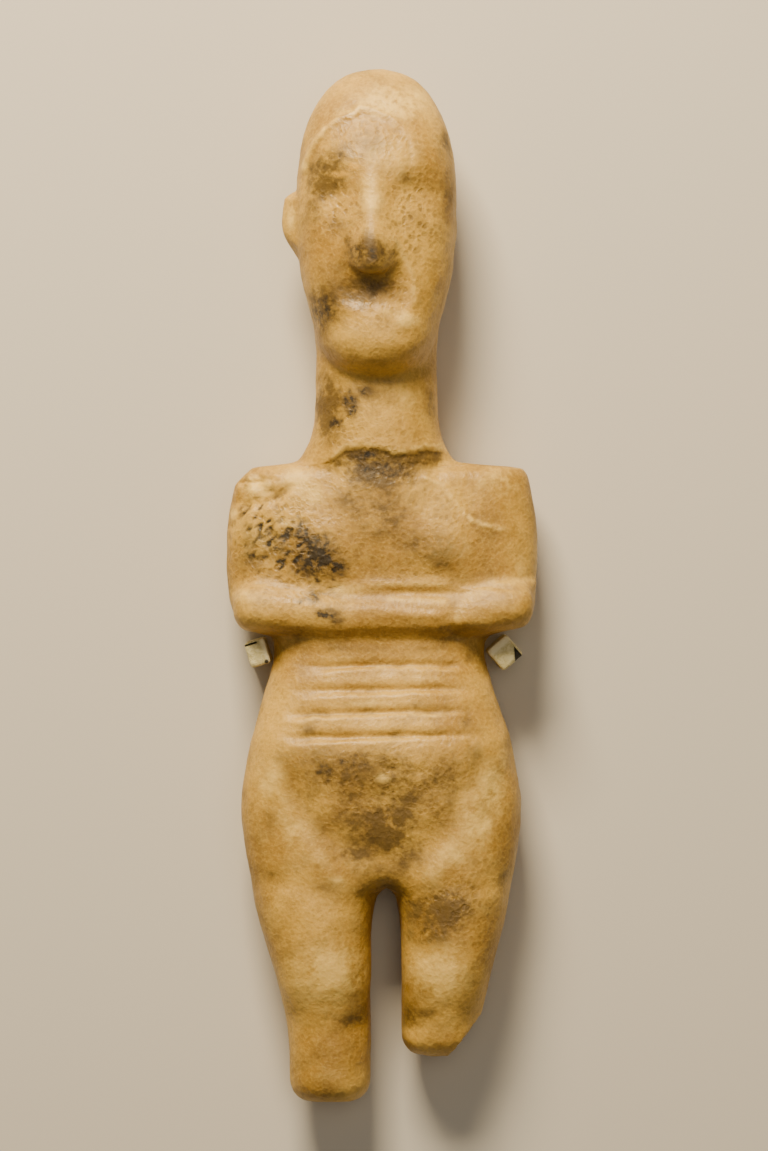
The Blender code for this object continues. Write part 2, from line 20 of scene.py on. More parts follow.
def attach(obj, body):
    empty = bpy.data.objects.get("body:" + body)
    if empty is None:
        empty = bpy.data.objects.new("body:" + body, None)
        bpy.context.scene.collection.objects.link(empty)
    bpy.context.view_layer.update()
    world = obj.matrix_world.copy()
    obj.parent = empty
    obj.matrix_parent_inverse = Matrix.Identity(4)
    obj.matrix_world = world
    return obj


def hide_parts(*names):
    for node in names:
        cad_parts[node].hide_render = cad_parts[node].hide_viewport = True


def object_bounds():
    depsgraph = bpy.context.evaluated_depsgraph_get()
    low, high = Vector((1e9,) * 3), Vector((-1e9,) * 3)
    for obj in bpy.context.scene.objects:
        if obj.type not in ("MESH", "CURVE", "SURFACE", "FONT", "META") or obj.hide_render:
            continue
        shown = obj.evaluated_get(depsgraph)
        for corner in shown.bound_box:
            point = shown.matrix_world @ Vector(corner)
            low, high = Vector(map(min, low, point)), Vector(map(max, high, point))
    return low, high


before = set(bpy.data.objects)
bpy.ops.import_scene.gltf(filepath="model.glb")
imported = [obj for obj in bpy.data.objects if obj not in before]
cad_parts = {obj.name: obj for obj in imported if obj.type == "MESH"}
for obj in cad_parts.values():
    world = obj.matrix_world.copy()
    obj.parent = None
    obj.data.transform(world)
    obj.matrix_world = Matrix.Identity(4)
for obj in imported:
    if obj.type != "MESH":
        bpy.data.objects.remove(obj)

MM = 0.001
cad_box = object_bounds()
print("pieces:", sorted(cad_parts))
print("box in mm:", [[round(value / MM, 1) for value in corner] for corner in cad_box])

# %% [markdown]
# ## The camera
#
# The real figure is seen straight from the front. Here it lies down, so the camera hangs above it
# and looks down, with the head at the top of the picture. A camera that isn't turned at all does
# just that. A long lens, 0.9 m away, keeps the raised face from looking larger than the legs.

# %% Hang the camera above the figure
CAMERA_PLACE = (0.4 * MM, 2.3 * MM, 913 * MM)
CAMERA_LENS = 135

lens = bpy.data.cameras.new("camera")
lens.lens = CAMERA_LENS
camera = bpy.data.objects.new("camera", lens)
camera.location = CAMERA_PLACE
bpy.context.collection.objects.link(camera)
bpy.context.scene.camera = camera
print("camera height in mm:", round(CAMERA_PLACE[2] / MM))

# %% [markdown]
# ## Colours and nodes
#
# Colours are written as hex numbers, the way a paint program shows them. Blender wants the amount
# of light instead, so one function turns a hex number into linear colour. A second small function
# adds a shader node together with its settings, its values and the links that feed it.

# %% Turn hex colours to linear and add nodes
def linear(hex_colour):
    """The linear colour, with full opacity, of a hex number such as #C89A5A."""
    amounts = [int(hex_colour[start:start + 2], 16) / 255 for start in (1, 3, 5)]
    return [a / 12.92 if a <= 0.04045 else ((a + 0.055) / 1.055) ** 2.4 for a in amounts] + [1.0]


def add_node(tree, kind, settings=None, values=None, links=None):
    """Adds one node. Sockets are named by their label, or by number where two share a label."""
    made = tree.nodes.new(kind)
    for name, value in (settings or {}).items():
        setattr(made, name, value)
    for name, value in (values or {}).items():
        made.inputs[name].default_value = value
    for name, source in (links or {}).items():
        tree.links.new(source, made.inputs[name])
    return made


# A Mix node of colours keeps its factor and its two colours in these sockets, and its result here.
FACTOR, UNDER, OVER, MIXED = 0, 6, 7, 2
COLOURS = {"data_type": "RGBA", "clamp_factor": True}
print("mid honey in linear colour:", [round(part, 3) for part in linear("#C89A5A")[:3]])

# %% [markdown]
# ## Floor and light
#
# Stone of this kind looks best in a large, soft light. The main light stands over the head, as it
# does in a museum, so each belly fold gets a bright upper edge and a thin shadow above it. A weak
# wide light from the front fills the shadows, and the floor is plain and pale.

# %% Lay the floor and hang the lights
FLOOR_SIDE = 16.0

floor_mesh = bpy.data.meshes.new("floor")
half = FLOOR_SIDE / 2
floor_corners = [(sx * half, sy * half, -0.03 * MM) for sx, sy in ((-1, -1), (1, -1), (1, 1), (-1, 1))]
floor_mesh.from_pydata(floor_corners, [], [(0, 1, 2, 3)])
floor = bpy.data.objects.new("floor", floor_mesh)
bpy.context.collection.objects.link(floor)
floor_paint = bpy.data.materials.new("matt_pale_paper")
floor_paint.use_nodes = True
paper = floor_paint.node_tree.nodes["Principled BSDF"]
paper.inputs["Base Color"].default_value = linear("#D9D4CA")
paper.inputs["Roughness"].default_value = 0.9
floor_mesh.materials.append(floor_paint)


def soft_light(name, place, aim, side, watts, colour):
    """A square area light that faces a point of the scene."""
    panel = bpy.data.lights.new(name, "AREA")
    panel.shape = "SQUARE"
    panel.size = side
    panel.energy = watts
    panel.color = linear(colour)[:3]
    light = bpy.data.objects.new(name, panel)
    light.location = place
    light.rotation_euler = (Vector(aim) - Vector(place)).to_track_quat("-Z", "Y").to_euler()
    bpy.context.collection.objects.link(light)


soft_light("head_side", (-0.13, 0.56, 0.46), (0, 0.03, 0.01), 0.26, 12.0, "#FFE9C2")
soft_light("front", (0.20, 0.10, 1.5), (0, 0, 0), 0.8, 4.5, "#FFEFD6")
world = bpy.data.worlds.new("room")
world.use_nodes = True
world.node_tree.nodes["Background"].inputs["Color"].default_value = linear("#F2EBDD")
world.node_tree.nodes["Background"].inputs["Strength"].default_value = 0.10
bpy.context.scene.world = world

# %% [markdown]
# ## A finer skin for the stone
#
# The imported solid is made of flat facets, a few millimetres wide. A subdivision surface turns them
# into smooth skin: triangles are first joined to quads, because the rule of Catmull and Clark gives
# the evenest skin on quads, and then every edge is halved twice. That leaves points well under a
# millimetre apart, close enough to carry shallow carving.

# %% Round the figurine's facets
ROUNDINGS = 2


def quad_cage(node):
    """The node's triangles as a plain mesh of quads, with its shape unchanged."""
    form = bmesh.new()
    form.from_mesh(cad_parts[node].data)
    bmesh.ops.remove_doubles(form, verts=form.verts, dist=0.02 * MM)
    wide = math.radians(60)
    bmesh.ops.join_triangles(form, faces=form.faces, angle_face_threshold=wide, angle_shape_threshold=wide)
    form.verts.index_update()
    places = [corner.co[:] for corner in form.verts]
    faces = [[corner.index for corner in face.verts] for face in form.faces]
    form.free()
    cage = bpy.data.meshes.new(node + "_cage")
    cage.from_pydata(places, [], faces)
    return cage


def rounded(cage, times):
    """A copy of the mesh whose edges are halved and smoothed a few times."""
    holder = bpy.data.objects.new("rounding", cage)
    bpy.context.collection.objects.link(holder)
    smoothing = holder.modifiers.new("smoothing", "SUBSURF")
    smoothing.levels = times
    graph = bpy.context.evaluated_depsgraph_get()
    finer = bpy.data.meshes.new_from_object(holder.evaluated_get(graph))
    bpy.data.objects.remove(holder)
    return finer


cage = quad_cage("figurine")
print("cage faces:", len(cage.polygons), "of them quads:", sum(len(face.vertices) == 4 for face in cage.polygons))
stone_mesh = rounded(cage, ROUNDINGS)
stone_mesh.name = "figurine_stone"
print("faces:", len(stone_mesh.polygons))

# %% Read the skin's points, in millimetres
def read(mesh, what):
    """Every vertex's co or normal as rows of three numbers."""
    values = np.empty(len(mesh.vertices) * 3)
    mesh.vertices.foreach_get(what, values)
    return values.reshape(-1, 3)


points = read(stone_mesh, "co") / MM
normals = read(stone_mesh, "normal")
x, y, z = points.T
lift = np.zeros(len(points))


def fade(value, start, end):
    """0 up to start, 1 from end on, and a smooth change between them."""
    part = np.clip((value - start) / (end - start), 0, 1)
    return part * part * (3 - 2 * part)


def hill(distance, half_width):
    """1 where the distance is nothing, and almost 0 at twice the half width."""
    return np.exp(-(distance / half_width) ** 2)


front = fade(normals[:, 2], 0.05, 0.45)
print("points:", len(points), "on the front:", int(front.sum()))

# %% [markdown]
# ## Lines drawn over the stone
#
# The carver's lines run over the figure as seen from the front, so each is given as a few points
# in millimetres, x to the figure's left and y to its crown. Two helpers measure every point of the
# skin against such a line: how far above or below a line that runs from side to side, and how far
# from a line that may turn any way.

# %% Measure the skin against a drawn line
def above_line(line, ends=2.0):
    """Height above a line that runs from side to side, and a weight that is 1 between its ends."""
    stops = np.array(line, float)
    height = y - np.interp(x, stops[:, 0], stops[:, 1])
    first, last = stops[0, 0], stops[-1, 0]
    within = fade(x, first - ends / 2, first + ends / 2) * (1 - fade(x, last - ends / 2, last + ends / 2))
    return height, within * front


def off_line(line):
    """Distance from a bent line, whichever way it turns."""
    nearest = np.full(len(x), 1e6)
    for (x0, y0), (x1, y1) in zip(line, line[1:]):
        run = (x1 - x0) ** 2 + (y1 - y0) ** 2
        part = np.clip(((x - x0) * (x1 - x0) + (y - y0) * (y1 - y0)) / run, 0, 1)
        nearest = np.minimum(nearest, np.hypot(x - x0 - part * (x1 - x0), y - y0 - part * (y1 - y0)))
    return nearest


def spot(x0, y0, wide, high):
    """1 in the middle of an oval on the front, fading to almost nothing at its rim."""
    return np.exp(-1.6 * (((x - x0) / wide) ** 2 + ((y - y0) / high) ** 2)) * front


def stone_noise(size, seed, octaves=3):
    """Smooth random values of about -1 to 1, that change over the given number of millimetres."""
    shift = Vector((seed * 17.3, seed * 5.1, seed * 9.7))
    return np.array([noise.fractal(Vector(point) / size + shift, 1.0, 2.0, octaves) for point in points])


def inside(corners, soft):
    """1 inside an outline that bends one way only, fading to 0 over a soft rim."""
    depth = np.full(len(x), 1e6)
    for (x0, y0), (x1, y1) in zip(corners, corners[1:] + corners[:1]):
        side = ((x1 - x0) * (y - y0) - (y1 - y0) * (x - x0)) / math.hypot(x1 - x0, y1 - y0)
        depth = np.minimum(depth, side)
    return fade(depth, -soft, soft) * front


ragged = stone_noise(2.2, 3)
crown = y.argmax()
print("crown, mm from the middle line:", round(float(off_line([(0, -90), (0, 90)])[crown]), 1))

# %% [markdown]
# ## Belly folds
#
# Four creases cross the belly. Each was cut as a shallow groove, and the roll below it swells a
# little towards the light, which draws a bright line under a dark one. A groove and a hill beside
# it, each a bell curve across the line, give just that. A slow noise bends the lines a little and
# a quicker one thins them here and there, as hand work and wear do.

# %% Cut the four belly creases
BELLY_CREASES = [
    [(-12.4, -17.1), (-6.0, -16.5), (0.8, -16.1), (9.0, -16.3), (16.2, -16.7)],
    [(-15.5, -22.4), (-3.6, -21.6), (5.1, -21.2), (15.3, -21.4)],
    [(-19.4, -27.0), (-14.6, -26.6), (-3.6, -26.2), (9.6, -25.8), (17.5, -25.5)],
    [(-18.1, -32.0), (-12.4, -31.4), (0.8, -30.8), (9.6, -30.6), (18.4, -30.1)],
]
CREASE_DEPTH = 0.28
ROLL_RISE = 0.30
waver = stone_noise(3.5, 11)
# crease_shade is painted shade in each groove and crease_light a painted highlight on the roll below it; both are laid
# into the colour with the stains.
crease_shade = np.zeros(len(points))
crease_light = np.zeros(len(points))
for line in BELLY_CREASES:
    height, within = above_line(line, ends=5.0)
    height = height + 0.45 * waver
    within = within * (0.75 + 0.5 * ragged)
    lift -= CREASE_DEPTH * within * hill(height - 0.2, 0.8)
    lift += ROLL_RISE * within * hill(height + 0.95, 0.6)
    crease_shade = np.maximum(crease_shade, within * hill(height - 0.3, 0.7))
    crease_light = np.maximum(crease_light, within * hill(height + 0.75, 0.5))
print("creases:", len(BELLY_CREASES), "deepest in mm:", round(float(-lift.min()), 2))

# %% [markdown]
# ## Arms and fingers
#
# One forearm lies over the other. Its upper edge shows as a low step, two fingers are marked by
# grooves near the far elbow, and that elbow stands out as a block with a bright worn edge.

# %% Mark the forearm, the fingers and the elbow
FOREARM_EDGE = [(-13.0, -2.6), (-9.0, -0.9), (-2.0, 0.9), (13.0, 0.9), (15.0, 0.2)]
FINGERS = [[(-1.9, 0.5), (13.1, 0.4)], [(1.2, -2.6), (12.9, -3.0)], [(0.5, -5.6), (12.0, -6.2)]]
FINGER_GROOVES = [[(2.0, -1.1), (13.2, -1.4)], [(2.0, -4.1), (13.0, -4.7)]]
ELBOW_EDGE = [(15.3, -6.8), (18.0, -1.9), (20.6, -0.2), (25.0, 1.2), (31.0, 1.4)]
ARMS_BOTTOM = -10.6

height, within = above_line(FOREARM_EDGE, ends=3.0)
lift -= 0.26 * within * fade(height, -0.2, 1.2) * (1 - fade(height, 1.5, 6.0))
for line in FINGERS:
    height, within = above_line(line, ends=4.0)
    lift += 0.20 * within * hill(height + 0.3 * waver, 0.8)
for line in FINGER_GROOVES:
    height, within = above_line(line, ends=4.0)
    lift -= 0.12 * within * hill(height + 0.3 * waver, 0.6)
height, within = above_line(ELBOW_EDGE, ends=1.2)
elbow_block = fade(-height, -0.5, 0.7) * fade(x, 14.7, 16.5) * front * fade(y, ARMS_BOTTOM, ARMS_BOTTOM + 4)
lift += 0.50 * elbow_block
print("elbow block covers points:", int((elbow_block > 0.5).sum()))

# %% [markdown]
# ## Groin
#
# Below the folds the belly falls away to a sunken wedge between the thighs, and the tops of the
# thighs stand along both its sides as low ridges. The wedge is darker and the ridges are paler, so
# their outlines are used again for the stains.

# %% Sink the wedge below the belly
BELLY_WEDGE = [
    (24.0, -32.5), (-24.0, -32.5), (-18.0, -45.4), (-11.0, -55.4), (-1.0, -66.0), (1.6, -66.0), (8.6, -57.6),
    (15.4, -48.4),
]
THIGH_TOPS = [[(-24.5, -36.0), (-20.0, -46.4), (-13.0, -56.4)], [(24.5, -36.0), (17.8, -49.0), (10.4, -59.4)]]
WEDGE_DEPTH = 0.70
wedge = inside(BELLY_WEDGE, 2.4)
lift -= WEDGE_DEPTH * wedge * fade(-y, 33.0, 44.0)
for line in THIGH_TOPS:
    lift += 0.28 * hill(off_line(line), 2.6) * front
for x0, y0 in ((2.0, -37.4), (7.8, -38.0)):
    lift -= 0.45 * spot(x0, y0, 1.6, 1.1)
lift += 0.30 * spot(0.2, -40.2, 3.0, 1.8)
print("wedge points:", int((wedge > 0.5).sum()))

# %% [markdown]
# ## Collar, chest and shoulder
#
# A ragged crack crosses the base of the neck, with the stone below it a little lower. A short thin
# ridge crosses the chest, and the right shoulder's corner is a rough break.

# %% Cut the collar and break the shoulder
COLLAR_CRACK = [
    (-11.5, 25.7), (-9.3, 27.4), (-7.5, 28.4), (-4.5, 28.8), (-1.8, 28.8), (0.7, 28.2), (2.5, 27.2),
    (4.9, 27.4), (7.0, 27.9), (9.0, 28.6), (11.2, 28.2), (13.0, 28.9),
]
CHEST_RIDGE = [(9.0, 22.5), (12.4, 21.0), (15.8, 16.6), (18.6, 13.6), (26.0, 11.6)]
CHIP_EDGE = [(-31.5, 17.8), (-27.0, 16.9), (-22.5, 17.8), (-19.0, 20.6)]
height, within = above_line(COLLAR_CRACK, ends=3.0)
height = height + 0.45 * ragged
lift -= 0.45 * within * fade(-height, -0.1, 0.5) * (1 - fade(-height, 2.5, 9.0))
lift += 0.22 * within * hill(height - 0.7, 0.7)
# collar_light is a painted highlight on the crack's upper lip and collar_shade painted shade on the sunken band below
# it; both are laid into the colour with the stains.
collar_light = within * hill(height - 0.5, 0.5)
collar_shade = within * fade(-height, -0.2, 0.7) * (1 - fade(-height, 0.8, 6.5))
lift += 0.26 * hill(off_line(CHEST_RIDGE), 0.55) * front
shoulder_break = spot(-27.0, 20.5, 7.0, 4.5)
lift += shoulder_break * (0.95 * stone_noise(3.0, 5) + 0.70 * stone_noise(1.3, 6) - 0.4)
lift -= 0.60 * hill(off_line(CHIP_EDGE), 0.7) * front
print("shoulder break roughness in mm:", round(float(np.abs(lift[shoulder_break > 0.6]).max()), 2))

# %% [markdown]
# ## The head
#
# An arched ridge crosses the forehead, and the face below it is set back a little. The nose is the
# only feature carved in full. Two faint hollows stand for the eyes, and a low ledge for the mouth.

# %% Carve the face's shallow forms
FOREHEAD_ARCH = [
    (-16.4, 86.0), (-15.1, 89.6), (-13.7, 91.8), (-11.7, 94.0), (-8.3, 96.3), (-5.7, 97.2),
    (-4.4, 98.5), (-1.4, 97.8), (1.2, 96.5), (3.8, 94.8), (6.3, 91.8),
]
MOUTH_LEDGE = [(-8.5, 58.0), (-4.0, 57.2), (1.0, 57.0), (5.6, 57.0)]
CHEEK_FOLD = [(2.4, 71.0), (4.4, 67.6), (6.4, 63.4), (6.8, 58.6)]
NOSE_SIDES = [[(-5.4, 80.0), (-7.0, 74.0), (-8.2, 68.6)], [(2.6, 80.0), (3.4, 74.5), (4.4, 68.0)]]
arch_strength = 1 - fade(x, -2.0, 6.5)
arch = hill(off_line(FOREHEAD_ARCH), 0.6) * front * arch_strength
lift += 0.34 * arch
height, within = above_line(FOREHEAD_ARCH, ends=2.0)
lift -= 0.32 * within * fade(-height, 0.2, 1.4) * (1 - fade(-height, 4.0, 12.0))
lift -= 0.40 * spot(-10.5, 85.5, 6.5, 4.5) + 0.14 * spot(6.0, 83.0, 5.5, 4.5)
height, within = above_line(MOUTH_LEDGE, ends=3.0)
lift -= 0.24 * within * fade(height, 0.0, 0.9) * (1 - fade(height, 2.5, 6.0))
lift += 0.22 * within * hill(height + 1.2, 1.2) * (0.7 + 1.1 * ragged)
lift += 0.30 * spot(5.5, 54.8, 2.6, 1.8) + 0.75 * spot(-2.5, 69.8, 5.2, 4.2)
lift += 0.34 * hill(off_line(CHEEK_FOLD), 1.0) * front
lift -= 0.40 * spot(3.1, 64.4, 2.4, 3.0)
for line in NOSE_SIDES:
    lift -= 0.14 * hill(off_line(line), 1.9) * front
print("arch points:", int((arch > 0.5).sum()))

# %% [markdown]
# ## Wear
#
# Hand work and long burial leave no surface quite even. Slow waves of a tenth of a millimetre bend
# the shine, faster ones roughen the skin, and the weathered side of the chest is pitted. The
# figure may not grow past its solid's box or sink through the floor, so the result is clipped. The
# hollow below each knee and the edges of the nose are gentler on the stone than on the solid, so
# the skin is evened there. The shorter leg ends in a slanting break, and what stands past its line
# is laid back onto it.

# %% Wear the skin and write it back
ends_of_edges = np.empty(len(stone_mesh.edges) * 2, np.int32)
stone_mesh.edges.foreach_get("vertices", ends_of_edges)
one, other = ends_of_edges.reshape(-1, 2).T
neighbours = np.bincount(ends_of_edges, minlength=len(points))


def evened(values, times):
    """The values after each has moved half way to the mean of its neighbours, a few times."""
    for _ in range(times):
        beside = np.bincount(one, values[other], len(points)) + np.bincount(other, values[one], len(points))
        values = (values + beside / neighbours) / 2
    return values


face_part = np.exp(-((x + 2.2) / 15.0) ** 2 - ((y - 78.0) / 9.0) ** 2) * fade(normals[:, 2], -0.6, -0.2)
tip_part = np.exp(-((x + 2.2) / 7.0) ** 2 - ((y - 67.5) / 6.0) ** 2) * fade(normals[:, 2], -0.6, -0.2)
for part, times in ((0.8 * face_part, 25), (tip_part, 70)):
    eased = np.stack([evened(values, times) for values in points.T], axis=1)
    points += (eased - points) * part[:, None]
NOSE_DROP = 1.4
nose_end = np.exp(-((x + 2.4) / 5.0) ** 2 - ((y - 66.5) / 3.5) ** 2) * fade(z, 30.5, 33.0)
points[:, 1] -= NOSE_DROP * nose_end
BREAK_LINE = (20.9, -88.6), (14.2, -97.0)
KNEE_HOLLOW = -89.0
knee_part = hill(y - KNEE_HOLLOW, 6.0) * fade(normals[:, 2], 0.3, 0.8)
points[:, 2] += (evened(points[:, 2], 90) - points[:, 2]) * knee_part
(x0, y0), (x1, y1) = BREAK_LINE
outward = np.array([y0 - y1, x1 - x0]) / math.hypot(x1 - x0, y1 - y0)
past = (points[:, :2] - BREAK_LINE[0]) @ outward + 0.3 * ragged
points[:, :2] -= outward * np.clip(past, 0, None)[:, None]
pitted = np.maximum.reduce([spot(-20.0, 8.5, 13.0, 9.5), 0.9 * spot(-25.0, 11.0, 8.0, 11.0), 0.6 * spot(-12.0, 3.0, 7.0, 7.0)])
pits = fade(stone_noise(1.1, 8, 2), -0.02, 0.44)
lift += 0.16 * stone_noise(9.0, 1) + 0.09 * stone_noise(3.0, 2)
lift -= 0.62 * pitted * pits
points = points + normals * lift[:, None]
low, high = (np.array(corner) / MM for corner in cad_box)
points = np.clip(points, low, high)
stone_mesh.vertices.foreach_set("co", (points * MM).ravel())
stone_mesh.update()
x, y, z = points.T
normals = read(stone_mesh, "normal")
print("lift in mm, least and most:", round(float(lift.min()), 2), round(float(lift.max()), 2))

# %% [markdown]
# ## Hollows and ridges
#
# Painted shade in the hollows and painted highlights on the ridges are much of what lets the eye
# read so shallow a carving. A point's height over the smoothed skin tells one from the other: below
# it lies a hollow, above it a ridge.

# %% Measure how far each point stands out
near = np.stack([evened(part, 4) for part in points.T], axis=1)
far = np.stack([evened(part, 60) for part in near.T], axis=1)
standing = ((near - far) * normals).sum(axis=1)
hollows = fade(-standing, 0.00, 0.22)
ridges = fade(standing, 0.10, 0.45)
spread_of_heights = [round(float(part), 2) for part in np.percentile(standing, (2, 25, 75, 98))]
print("standing out, mm at 2, 25, 75 and 98 %:", spread_of_heights)

# %% [markdown]
# ## Stains, painted shade and painted highlights
#
# The stone has taken colour in patches: soot black where it lay against something burnt, brown
# where earth stained it, cream where it is rubbed bare. Painted shade and painted highlights go into
# the same layers: shade in the creases, the hollows, below the collar crack, under the forearms,
# below the knees, on the nose and on the sides, and highlights on the ridges, crown, nose bridge,
# belly rolls and knees. Each kind is a list of soft ovals as x, y, half width, half height and
# strength. They are stored as values on the points, and the material breaks their edges up, so they
# never look airbrushed.

# %% Paint where each stain, painted shade and painted highlight lies
SOOT_AND_SHADE = [
    (-13.4, 6.0, 6.4, 5.4, 1.00), (-9.4, 4.2, 3.8, 3.0, 0.90), (-16.4, 10.4, 4.2, 3.6, 0.72),
    (-21.5, 8.6, 7.0, 6.0, 0.52), (-27.0, 5.6, 4.6, 5.0, 0.46), (-14.2, -2.2, 1.8, 2.4, 0.80),
    (-11.4, -5.6, 3.2, 1.5, 1.00), (-17.2, -3.0, 1.4, 1.4, 0.60), (-9.2, -7.0, 2.4, 1.2, 0.62),
    (-4.0, 27.2, 4.0, 1.5, 0.78), (-0.6, 24.0, 11.0, 4.0, 0.54), (4.6, 24.4, 4.6, 2.0, 0.42),
    (-6.4, 37.6, 2.2, 4.4, 0.80), (-3.4, 40.2, 3.0, 2.0, 0.62), (-9.6, 33.8, 2.6, 2.2, 0.60),
    (3.4, 62.4, 4.0, 2.6, 0.10), (-0.4, 59.6, 8.0, 2.4, 0.16),
    # On the nose tip these two ovals are soot together with painted shade.
    (-6.0, 69.2, 1.8, 2.6, 0.50), (-2.8, 67.8, 5.4, 3.2, 0.60),
    (-11.6, 57.2, 5.0, 6.0, 0.50), (-13.2, 86.6, 3.6, 2.6, 0.40),
    (-8.2, 88.0, 5.0, 3.0, 0.36), (5.6, 83.6, 2.3, 1.7, 0.34), (6.4, 76.4, 3.0, 5.4, 0.24),
    (-6.0, -35.6, 7.4, 3.6, 0.46), (17.4, -27.4, 2.4, 2.8, 0.50), (17.9, -15.1, 1.6, 1.4, 0.50),
    (-25.6, -58.4, 2.2, 2.2, 0.36), (-12.6, -37.5, 5.0, 4.0, 0.40), (2.0, -36.8, 1.6, 1.0, 0.55),
]
# Besides earth stains these ovals hold painted shade: along and under the forearms' lower edge (y -8.8 to -12.6), below
# the knees (y -88 to -90) and on the nose's tip and sides (y 66 to 69.4).
PATINA_AND_SHADE = [
    (0.2, 23.0, 10.5, 5.4, 0.95), (1.6, -50.0, 7.2, 8.8, 0.95), (-9.6, -38.4, 9.0, 5.8, 0.78),
    (12.6, -66.4, 9.4, 6.6, 0.92), (-11.6, 57.2, 5.6, 6.8, 0.80), (10.5, 7.8, 8.0, 5.6, 0.62),
    (-11.0, -99.0, 9.0, 9.0, 0.30), (-1.0, 52.0, 9.0, 4.0, 0.36),
    (-0.2, 14.6, 8.6, 5.4, 0.70), (12.0, 5.4, 7.0, 3.6, 0.52), (23.7, 10.4, 2.6, 2.4, 0.36),
    (-27.8, 9.5, 3.2, 5.6, 0.46), (-18.9, -9.6, 8.2, 1.8, 0.50), (12.0, -8.8, 8.4, 1.8, 0.58),
    (18.4, -34.5, 5.2, 4.0, 0.46), (7.4, -24.4, 4.0, 1.8, 0.36), (-15.4, -29.6, 3.2, 2.0, 0.42),
    (4.6, -43.6, 6.4, 1.8, 0.72), (0.6, -47.2, 9.4, 3.0, 0.95), (11.1, -47.2, 3.4, 3.2, 0.62),
    (-5.4, -55.2, 4.4, 2.4, 0.86), (2.5, -54.8, 4.2, 4.2, 0.50), (-2.1, -58.8, 3.4, 2.4, 0.50),
    (-9.6, -55.4, 3.2, 1.6, 0.50), (-22.2, -59.4, 4.6, 3.0, 0.40), (-23.0, -47.0, 2.0, 6.0, 0.36),
    (14.6, -65.0, 6.0, 4.6, 1.00), (10.0, -71.8, 6.6, 4.4, 0.80), (17.2, -62.0, 4.4, 2.2, 0.50),
    (5.6, -66.0, 1.6, 8.0, 0.46), (-12.2, -62.0, 6.2, 3.2, 0.36), (-9.1, -71.0, 6.2, 3.0, 0.24),
    (-6.2, -90.0, 4.4, 2.6, 0.62), (-11.2, -88.6, 5.0, 1.3, 0.50), (5.6, -89.6, 3.0, 3.4, 0.66),
    (9.6, -88.2, 4.0, 1.6, 0.56), (-11.2, -99.8, 7.0, 5.0, 0.22), (25.7, -60.0, 3.0, 6.0, 0.42),
    (-11.0, 37.0, 5.0, 9.0, 1.00), (-10.8, 30.0, 3.0, 3.0, 0.46), (10.0, 37.2, 2.4, 5.4, 0.46),
    (-14.3, 76.6, 2.6, 6.4, 0.40), (-9.2, 74.6, 3.4, 3.4, 0.36), (12.8, 91.4, 3.0, 5.2, 0.46),
    (13.6, 81.2, 2.2, 9.0, 0.40), (10.2, 65.6, 2.6, 4.4, 0.36), (-10.6, 86.4, 7.0, 5.4, 0.66), (-11.6, 83.0, 5.4, 5.0, 0.95), (-7.4, 88.0, 4.4, 4.0, 0.60),
    (-2.0, 90.4, 7.0, 3.0, 0.40), (5.6, 83.4, 3.4, 2.8, 0.46), (-5.0, 59.8, 7.0, 4.6, 0.84), (0.8, 60.4, 8.0, 4.0, 0.40), (-2.6, 68.2, 6.0, 4.6, 1.00),
    (-6.8, 69.4, 1.7, 4.0, 0.70), (2.8, 68.8, 1.5, 3.4, 0.60), (-8.4, 66.0, 3.0, 4.0, 0.36),
    (-2.4, 53.0, 7.0, 2.6, 0.34), (-4.4, -12.6, 15.0, 1.6, 0.36), (9.0, -12.6, 10.0, 1.6, 0.36),
]
CHEST_WEDGE = [(10.5, 21.0), (-11.5, 21.0), (-6.0, 12.0), (-1.0, 8.6), (5.0, 12.0)]
